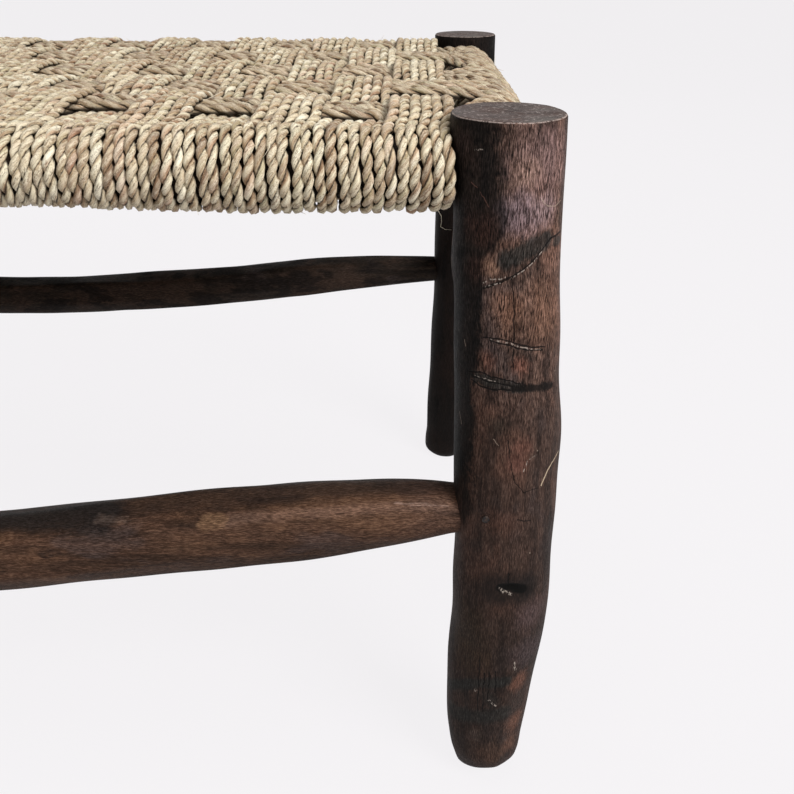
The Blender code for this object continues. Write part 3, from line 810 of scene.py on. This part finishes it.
def make_leg(leg, seed, material):
    """A branch leg with a rounded foot, an uneven skin and a sawn top with a worn rim."""
    share = np.linspace(0.012, 1 - 0.0016 / LEG_HEIGHT, LEG_RINGS)
    # Each a list of heights and shares of the radius
    foot = [(0.0, 0.02), (0.0, 0.25), (0.0, 0.4), (0.0006, 0.49), (0.0022, 0.565), (0.004, 0.62)]
    rim = [(LEG_HEIGHT - 0.0007, 0.985), (LEG_HEIGHT - 0.0001, 0.96), (LEG_HEIGHT, 0.94)]
    top = [(LEG_HEIGHT, part) for part in (0.85, 0.7, 0.55, 0.4, 0.25, 0.1, 0.01)]
    shaft = list(zip(share * LEG_HEIGHT, flow(LEG_GIRTH, share)))
    heights, girths = np.array(foot + shaft + rim + top).T
    bends, kicks = (flow(points, heights / LEG_HEIGHT) for points in (LEG_BEND, LEG_KICK))
    side_x, side_y, thick, crook_x, crook_y, kick = LEGS[leg]

    def shape(angle, ring):
        z, girth = heights[ring], girths[ring]
        radius = LEG_RADIUS * thick * girth * (1 + uneven(angle, z, seed, LEG_SKIN))
        # Dents fade out towards the flat ends
        skin = np.clip(np.minimum((ring + 1) / 8, (len(heights) - 9 - ring) / 6), 0, 1)
        for at, place, wide, high, depth in LEG_DENTS[leg]:
            radius += skin * depth * dent(angle, z, at, place, LEG_RADIUS, wide, high)
        x = side_x * HALF_LENGTH + crook_x * bends[ring] + kick * kicks[ring] + radius * np.cos(angle)
        y = side_y * HALF_DEPTH + crook_y * bends[ring] + radius * np.sin(angle)
        # The sawn top isn't quite even, and the foot is worn
        saw = np.where(z < 0.02, 0.0, 1.0) * (girth < 0.93) * 0.00025 * np.sin(3 * angle + 40 * girth)
        worn = np.clip(np.cos(angle + 1.15), 0, 1) * (girth / 0.5) ** 1.5 * np.exp(-z / 0.012)
        return np.stack((x, y, z - np.abs(saw) + FOOT_WEAR[leg] * worn), 1)

    mesh = timber("leg_" + leg, LEG_SIDES, len(heights), shape)
    add_piece("branch_leg_" + leg, mesh, material, ("leg_" + leg,))


# Knots and dents on each stretcher: angle in degrees, share of its run, width, length and depth
STRETCHER_DENTS = {
    "front": ((40, 0.745, 0.012, 0.016, -0.0011), (70, 0.58, 0.01, 0.012, 0.0014),
              (20, 0.86, 0.014, 0.05, -0.001), (60, 0.3, 0.012, 0.02, 0.0012)),
    "back": ((60, 0.8, 0.01, 0.014, 0.001), (30, 0.35, 0.01, 0.02, 0.0012)),
    "left": ((60, 0.4, 0.008, 0.012, 0.001),),
    "right": ((60, 0.6, 0.008, 0.012, 0.001),),
}


def make_stretcher(side, seed, sides, material):
    """A bowed stretcher, hewn thinner towards its ends."""
    low_leg, high_leg, height, end_radius, middle_radius, taper, fullness, bow = STRETCHERS[side]
    low = np.array((*leg_axis(low_leg, height), height))
    high = np.array((*leg_axis(high_leg, height), height))
    length = np.linalg.norm(high - low)
    run = (high - low) / length
    level = np.cross(run, (0, 0, 1.0))
    entry = [leg_thickness(leg, height) for leg in (low_leg, high_leg)]
    stop = length - TENON_STOP
    steps = np.concatenate(([TENON_STOP], np.linspace(TENON_STOP, stop, STRETCHER_RINGS), [stop]))
    inside = np.clip(np.minimum(steps - entry[0], length - entry[1] - steps) / taper, 0, 1)
    radii = end_radius + (middle_radius - end_radius) * (1 - (1 - inside) ** fullness)
    radii[[0, -1]] = TENON_TIP_RADIUS
    swing = np.clip((steps - entry[0]) / (length - sum(entry)), 0, 1)
    sag = bow * np.sin(pi * swing) ** BOW_POWER
    sway = wander(steps, 0.0012, (0.31, 0.47), seed) * inside
    if side == "front":
        sag = sag + eased(FRONT_SINK, steps)

    def shape(angle, ring):
        along = steps[ring]
        free = np.clip(inside[ring] * 3, 0, 1)
        radius = radii[ring] * (1 + free * uneven(angle, along, seed, STRETCHER_SKIN))
        for at, share, wide, tall, depth in STRETCHER_DENTS[side]:
            radius += free * depth * dent(angle, along, at, share * length, middle_radius, wide, tall)
        centre = low + np.outer(along, run) + np.outer(sway[ring], level)
        centre[:, 2] -= sag[ring]
        out = np.outer(np.cos(angle), level)
        out[:, 2] += np.sin(angle)
        return centre + out * radius[:, None]

    mesh = timber("stretcher_" + side, sides, len(steps), shape)
    add_piece("hewn_stretcher_" + side, mesh, material, ("stretcher_" + side,))


def make_nail(leg, side, material):
    """A nail with a hammered, slightly domed head, in the place of the solid one."""
    name = f"nail_{leg}_{side}"
    low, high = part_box(name)
    long_axis = max(range(3), key=lambda axis: high[axis] - low[axis])
    length = high[long_axis] - low[long_axis]
    middle = (low + high) / 2
    out = -1 if middle[long_axis] < 0 else 1
    bm = bmesh.new()
    outline = (
        (0.0, 0.0), (0.0006, 0.0008), (NAIL_RADIUS, 0.004), (NAIL_RADIUS, length - 0.0015),
        (0.0024, length - 0.0012), (NAIL_HEAD_RADIUS, length - 0.0008), (0.0024, length - 0.0003),
        (0.0015, length + 0.0001), (0.0, length + 0.0002),
    )
    points = [bm.verts.new((radius, 0, up)) for radius, up in outline]
    for one, other in zip(points, points[1:]):
        bm.edges.new((one, other))
    bmesh.ops.spin(bm, geom=bm.verts[:] + bm.edges[:], axis=(0, 0, 1), cent=(0, 0, 0),
                   angle=2 * pi, steps=NAIL_SIDES, use_merge=True)
    bmesh.ops.remove_doubles(bm, verts=bm.verts, dist=MERGE)
    dice = Random(leg + side)
    for vert in bm.verts:
        if vert.co.z > length - 0.001:
            vert.co.z += dice.uniform(-0.00012, 0.0)
    bmesh.ops.recalc_face_normals(bm, faces=bm.faces)
    way = Vector([out if axis == long_axis else 0 for axis in range(3)])
    turn = Vector((0, 0, 1)).rotation_difference(way)
    start = middle.copy()
    start[long_axis] -= out * length / 2
    bmesh.ops.transform(bm, matrix=Matrix.Translation(start) @ turn.to_matrix().to_4x4(), verts=bm.verts)
    add_piece("hammered_" + name, new_mesh(name, bm), material, (name,))


# The rope seat


def row_middle(row, x):
    """Y of a weft row's middle: the front row bends back from its rail between its ends."""
    share = np.clip((WARP_SPAN / 2 - np.abs(x)) / FRONT_DRIFT_RUN, 0, 1)
    drift = FRONT_DRIFT * share * share * (3 - 2 * share) if row == 0 else 0.0
    return WEFT_PITCH * (row + 0.5) - HALF_DEPTH + drift


def warp_level(y, group, x):
    """Height of a warp rope's centre on the top of the seat: over every second weft row."""
    points = [(-HALF_DEPTH, RAIL_TOP)]
    for row in range(WEFT_ROWS):
        level = WEAVE_HEIGHT + (WARP_WAVE if (group + row) % 2 == 0 else -WARP_WAVE)
        middle = row_middle(row, x)
        points += [(middle - WARP_LEVEL_HALF, level), (middle + WARP_LEVEL_HALF, level)]
    return eased(points + [(HALF_DEPTH, RAIL_TOP)], y)


def weft_level(x, row):
    """Height of a weft rope's centre on the top of the seat: over every second warp group."""
    points = [(HALF_LENGTH - RAIL_LANDING, RAIL_TOP)]
    reach = WARP_PITCH / 2 - WEFT_CLIMB
    for group in range(WARP_GROUPS):
        dip = END_DIP if group in (0, WARP_GROUPS - 1) else WEFT_WAVE
        level = WEAVE_HEIGHT + (WEFT_WAVE if (group + row) % 2 == 1 else -dip)
        middle = WARP_SPAN / 2 - WARP_PITCH * (group + 0.5)
        points += [(middle + reach, level), (middle - reach, level)]
    points.append((RAIL_LANDING - HALF_LENGTH, RAIL_TOP))
    return eased(points[::-1], x)


def warp_route(group):
    """Centre line of a warp group: six turns round the front and back rails."""
    arc = np.linspace(0, pi, WARP_ARC_STEPS)[:-1]
    run = np.linspace(-HALF_DEPTH, HALF_DEPTH, round(2 * HALF_DEPTH / TOP_STEP))[:-1]
    low_run = np.linspace(-HALF_DEPTH, HALF_DEPTH, round(2 * HALF_DEPTH / UNDER_STEP))[:-1]
    dice = Random(100 + group)
    route = []
    for turn in range(ROPES):
        x = WARP_SPAN / 2 - WARP_PITCH * group - ROPE_PITCH * (turn + 0.5)
        swell = (much * exp(-(((x - place) / wide) ** 2)) for much, place, wide in WRAP_SWELL)
        radius = WRAP_RADIUS + (WRAP_SLACK + sum(swell)) + dice.uniform(-0.0004, 0.0005)
        lift = dice.uniform(-0.0003, 0.0004)
        level, reach, rise = np.full_like(arc, x), HALF_DEPTH + radius * np.sin(arc), radius * np.cos(arc)
        front = (level, -reach, RAIL_HEIGHT - rise)
        top = (np.full_like(run, x), run, warp_level(run, group, x) + lift)
        back = (level, reach, RAIL_HEIGHT + rise)
        slant = x - ROPE_PITCH * eased(((-HALF_DEPTH, 0), (HALF_DEPTH, 1)), low_run)
        under = (slant, -low_run, 2 * RAIL_HEIGHT - warp_level(-low_run, group, x) - lift)
        route += [np.stack(part, 1) for part in (front, top, back, under)]
    route = np.concatenate(route)
    # The ropes are tight between the legs, and spread a little before and behind them
    slack = 1 - np.exp(-(((np.abs(route[:, 1]) - HALF_DEPTH) / LEG_GRIP) ** 2))
    route[:, 0] *= WARP_SPREAD + WARP_LOOSE * slack
    return route


def weft_route(row):
    """Centre line of a weft row: six turns from side rail to side rail, fanned out round each rail."""
    wrap = np.linspace(0, SIDE_WRAP, WEFT_WRAP_STEPS)[:-1]
    run = np.linspace(-HALF_LENGTH, HALF_LENGTH, round(2 * HALF_LENGTH / TOP_STEP))[:-1]
    low_run = np.linspace(HALF_LENGTH, -HALF_LENGTH, round(2 * HALF_LENGTH / UNDER_STEP))[:-1]
    fan = (row - (WEFT_ROWS - 1) / 2) * FAN_PITCH
    far, near = HALF_LENGTH - FAN_REACH[row], HALF_LENGTH - RAIL_LANDING
    # 0 at the left rail, 1 in the weave and 2 at the right rail
    spread = eased(((-near, 0), (-far, 1), (far, 1), (near, 2)), run)
    waves = wander(run, 0.0013, (0.19, 0.31, 0.43), 300 + row)
    dice = Random(400 + row)
    route = []
    for turn in range(ROPES):
        across = row_middle(row, run) + (turn - (ROPES - 1) / 2) * WEFT_ROPE_PITCH
        start = fan + (2 * turn - ROPES + 0.5) * FAN_STEP
        woven = across + waves + wander(run, 0.0007, (0.09, 0.15, 0.27), dice.random())
        lift = dice.uniform(-0.0003, 0.0005)

        def path(left, right):
            left_end = left + (woven - left) * np.clip(spread, 0, 1)
            return left_end + (right - left_end) * np.clip(spread - 1, 0, 1)

        def rail(side, angle, begin):
            y = begin + FAN_STEP * wrap / (2 * pi)
            bulge = SIDE_BULGE * (1 - (y / HALF_DEPTH) ** 2)
            radius = WRAP_RADIUS + bulge * np.clip(np.sin(angle), 0, 1)
            x = side * (HALF_LENGTH + radius * np.sin(angle))
            return x, y, RAIL_HEIGHT + WRAP_RADIUS * np.cos(angle)

        top = (run, path(start, start), weft_level(run, row) + lift)
        under_y = np.interp(low_run, run, path(start + 0.5 * FAN_STEP, start + 1.5 * FAN_STEP))
        under = (low_run, under_y, 2 * RAIL_HEIGHT - weft_level(low_run, row) - lift)
        parts = (top, rail(1, wrap, start), under, rail(-1, pi - wrap, start + 0.5 * FAN_STEP))
        route += [np.stack(part, 1) for part in parts]
    return np.concatenate(route)


def round_curve(name, radius, resolution):
    """An empty curve with a round section."""
    curve = bpy.data.curves.new(name, "CURVE")
    curve.dimensions = "3D"
    curve.bevel_depth = radius
    curve.bevel_resolution = resolution
    return curve


def add_line(curve, points, fat):
    """A line through points, with a share of the curve's radius at each."""
    spline = curve.splines.new("POLY")
    spline.points.add(len(points) - 1)
    spline.points.foreach_set("co", np.c_[points, np.ones(len(points))].astype(np.float32).ravel())
    spline.points.foreach_set("radius", fat.astype(np.float32))


def curve_mesh(curve):
    """The mesh of a curve, which is then removed."""
    holder = add_object(curve.name, curve)
    bpy.context.view_layer.update()
    mesh = bpy.data.meshes.new_from_object(holder.evaluated_get(bpy.context.evaluated_depsgraph_get()))
    bpy.data.objects.remove(holder)
    bpy.data.curves.remove(curve)
    return mesh


def close_ends(mesh):
    bm = bmesh.new()
    bm.from_mesh(mesh)
    seal(bm)
    bm.to_mesh(mesh)
    bm.free()


def lay_rope(name, route, side, lay, seed, start, material, slot, nodes):
    """Two strands twisted along a route, as one mesh that carries each fibre's place in strand and rope.

    Side is the direction that lies across the rope, level with the seat. Lay is the length of a full twist,
    and start the length of all rope laid before. Returned is the length with this rope.
    """
    length = np.concatenate(([0], np.cumsum(np.linalg.norm(np.diff(route, axis=0), axis=1))))
    tangent = unit(np.gradient(route, axis=0))
    out = unit(np.cross(side, tangent))
    level = np.cross(tangent, out)
    # No rope lies quite straight, twists quite evenly or is equally thick all along
    route = route + level * wander(length, 0.0005, (0.05, 0.083, 0.17), seed)[:, None]
    route = route + out * wander(length, 0.00032, (0.043, 0.071), seed + 0.1)[:, None]
    turn = 2 * pi * (start + length) / lay + wander(length, 0.75, (0.047, 0.11, 0.31), seed + 0.2)
    curve = round_curve(name, STRAND_RADIUS, 1)
    strands, spokes, tangents = [], [], []
    for strand in range(2):
        phase = (turn + pi * strand)[:, None]
        spokes.append(np.cos(phase) * out + np.sin(phase) * level)
        tangents.append(np.cos(phase) * level - np.sin(phase) * out)
        points = route + STRAND_OFFSET * spokes[-1]
        bumps = wander(length, 0.13, (0.0123, 0.0171, 0.031, 0.19), seed + 0.3 + strand)
        add_line(curve, points, 1 + 0.09 * np.cos(phase[:, 0]) + bumps)
        strands.append(points)
    mesh = curve_mesh(curve)
    # How far each point stands out of the rope, and its place along, out of and round its strand, where the
    # second strand has another part of the leaf's pattern
    count = len(mesh.vertices)
    sides = count // (2 * len(route))
    places = np.empty(count * 3, np.float32)
    mesh.vertices.foreach_get("co", places)
    places = places.reshape(2, len(route), sides, 3)
    offset = places - np.array(strands)[:, :, None, :]
    proud = np.einsum("spvc,pc->spv", places - route[:, None, :], out)
    fibre = np.empty((2, len(route), sides, 3), np.float32)
    fibre[..., 0] = (start + length)[None, :, None] + np.array((0.0, 7.7))[:, None, None]
    fibre[..., 1] = np.einsum("spvc,spc->spv", offset, np.array(spokes))
    fibre[..., 2] = np.einsum("spvc,spc->spv", offset, np.array(tangents))
    close_ends(mesh)
    attribute = mesh.attributes.new("fibre", "FLOAT_VECTOR", "POINT")
    attribute.data.foreach_set("vector", fibre.ravel())
    attribute = mesh.attributes.new("proud", "FLOAT", "POINT")
    attribute.data.foreach_set("value", proud.astype(np.float32).ravel())
    add_piece(name, mesh, material, nodes)
    return start + length[-1]


def make_slivers(routes, material):
    """Thin loose slivers of leaf: many that peel off the ropes, one by a leg's top, one that hangs down."""
    dice = Random(700)
    slivers = [np.array([(x, y, z) for x, z in points]) for y, *points in PLACED_SLIVERS]
    along = np.linspace(0, 1, 6)[:, None]
    for _ in range(SLIVERS):
        route, side = dice.choice(routes)
        at = dice.randrange(2, len(route) - 2)
        ahead = unit(route[at + 1] - route[at - 1])
        out = unit(np.cross(side, ahead))
        tangent = ahead * dice.choice((-1, 1))
        level = np.cross(tangent, out) * dice.choice((-1, 1))
        reach, lift = dice.uniform(0.005, 0.013), dice.uniform(0.0012, 0.004)
        drift = dice.uniform(0.0, 0.0045)
        slivers.append(route[at] + tangent * reach * along + out * (0.0016 + lift * along ** 1.4)
                       + level * (0.0008 + drift * along ** 1.7))
    curve = round_curve("loose_palm_slivers", SLIVER_RADIUS, 0)
    for points in slivers:
        add_line(curve, points, np.linspace(1.1, 0.45, len(points)))
    mesh = curve_mesh(curve)
    close_ends(mesh)
    add_piece("loose_palm_slivers", mesh, material)


def make_seat(warp_rope, weft_rope, sliver):
    """All warp groups and weft rows, and the slivers that come loose from them."""
    start = 0.0
    routes = []
    for group in range(WARP_GROUPS):
        name = f"{group + 1:02d}"
        routes.append((warp_route(group), (1.0, 0, 0)))
        start = lay_rope("warp_ropes_" + name, *routes[-1], WARP_LAY, 500 + group, start,
                         warp_rope, "warp_rope", ("warp_band_" + name,))
    for row in range(WEFT_ROWS):
        name = str(row + 1)
        routes.append((weft_route(row), (0, -1.0, 0)))
        start = lay_rope("weft_ropes_" + name, *routes[-1], WEFT_LAY, 600 + row, start,
                         weft_rope, "weft_rope", ("weft_band_" + name,))
    make_slivers(routes, sliver)


# The room


def make_floor():
    """A pale floor that shows a faint shadow."""
    bm = bmesh.new()
    bmesh.ops.create_grid(bm, x_segments=1, y_segments=1, size=FLOOR_HALF)
    mesh = new_mesh("studio_floor", bm)
    pale = Finish("studio_floor")
    mesh.materials.append(pale.done(paint(196, 193, 194), 0.9, specular=0.1))
    seen = pale.ray("Camera") + pale.ray("Glossy") + pale.ray("Transmission")
    glow = pale.node("Emission", {}, {"Color": paint(248, 246, 248), "Strength": 1.0})
    matt = Shade(pale, pale.shader.outputs[0])
    shader = pale.node("MixShader", {}, {0: seen * FLOOR_GLOW, 1: matt, 2: glow})
    pale.feed(pale.tree.nodes["Material Output"].inputs["Surface"], shader)
    floor = add_object("studio_floor", mesh)


def make_lamp(name, place, target, size, power):
    """A soft square lamp that faces a point."""
    light = bpy.data.lights.new(name, "AREA")
    light.size = size
    light.energy = power
    lamp = add_object(name, light)
    lamp.location = place
    lamp.rotation_euler = (Vector(target) - Vector(place)).to_track_quat("-Z", "Y").to_euler()


def make_world():
    """A dim even light on the bench, which the camera sees as nearly white."""
    sky = Finish("studio", "worlds")
    seen = sky.math("MAXIMUM", sky.ray("Camera"), sky.ray("Transmission"))
    level = sky.node("MapRange", {}, {"Value": seen, "To Min": WORLD_LIGHT, "To Max": WORLD_SEEN})
    background = sky.tree.nodes["Background"].inputs
    sky.feed(background["Strength"], level)
    sky.feed(background["Color"], (1, 1, 1, 1))
    bpy.context.scene.world = sky.owner


def make_camera():
    """A camera in the photograph's place."""
    view = bpy.data.cameras.new("photo_camera")
    view.lens = CAMERA_LENS
    view.sensor_width = 36
    view.shift_y = CAMERA_SHIFT
    camera = add_object("photo_camera", view)
    camera.location = CAMERA_PLACE
    camera.rotation_euler = CAMERA_TURN
    bpy.context.scene.camera = camera


# All together

brown = paints((46, 33, 28), (75, 56, 48), (92, 65, 54))
warm_brown = paints((46, 32, 24), (67, 47, 36), (82, 58, 43))
dark_brown = paints((40, 29, 24), (62, 46, 37), (80, 57, 44))
# Nearly black tones for the back stretcher under the seat: partly a dark stain and partly painted shade
near_black = paints((27, 21, 17), (42, 33, 27), (52, 39, 32))
straw = paints((122, 94, 69), (157, 131, 102), (187, 169, 139), (207, 195, 168), (222, 213, 190))
dusty_straw = paints((104, 79, 57), (132, 107, 81), (154, 131, 103), (171, 151, 122), (186, 170, 144))

marked_wood = stained_branch("front_right_leg_wood", 2, 1, brown, 0.15, 1.0, front_right_leg)
left_wood = stained_branch("left_leg_wood", 2, 11, brown, 0.3, 0.9, other_leg)
dark_wood = stained_branch("back_right_leg_wood", 2, 5, brown, 0.3, 0.7, back_right_leg)
front_wood = stained_branch("front_stretcher_wood", 0, 3, warm_brown, 0.1, 0.55, front_stretcher_marks)
back_wood = stained_branch("back_stretcher_wood", 0, 7, near_black, 0.6, 0.5)
side_wood = stained_branch("side_stretcher_wood", 1, 9, dark_brown, 0.4, 0.6)
iron = nail_iron()
warp_rope = palm_rope("warp_palm_rope", straw, 1)
weft_rope = palm_rope("weft_palm_rope", dusty_straw, 2)

make_leg("front_right", 20, marked_wood)
make_leg("front_left", 21, left_wood)
make_leg("back_right", 22, dark_wood)
make_leg("back_left", 23, left_wood)
make_stretcher("front", 31, 64, front_wood)
make_stretcher("back", 32, 56, back_wood)
make_stretcher("left", 33, 48, side_wood)
make_stretcher("right", 34, 48, side_wood)
for side, (low_leg, high_leg, *_) in STRETCHERS.items():
    for leg in (low_leg, high_leg):
        make_nail(leg, side, iron)
for side, wood in (("front", back_wood), ("back", back_wood), ("left", side_wood), ("right", side_wood)):
    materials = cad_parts["rail_" + side].data.materials
    materials.clear()
    materials.append(wood)
make_seat(warp_rope, weft_rope, loose_sliver())
make_floor()
for name, (place, target, size, power) in LAMPS.items():
    make_lamp(name, place, target, size, power)
make_world()
make_camera()
bpy.context.scene.view_settings.view_transform = "Standard"
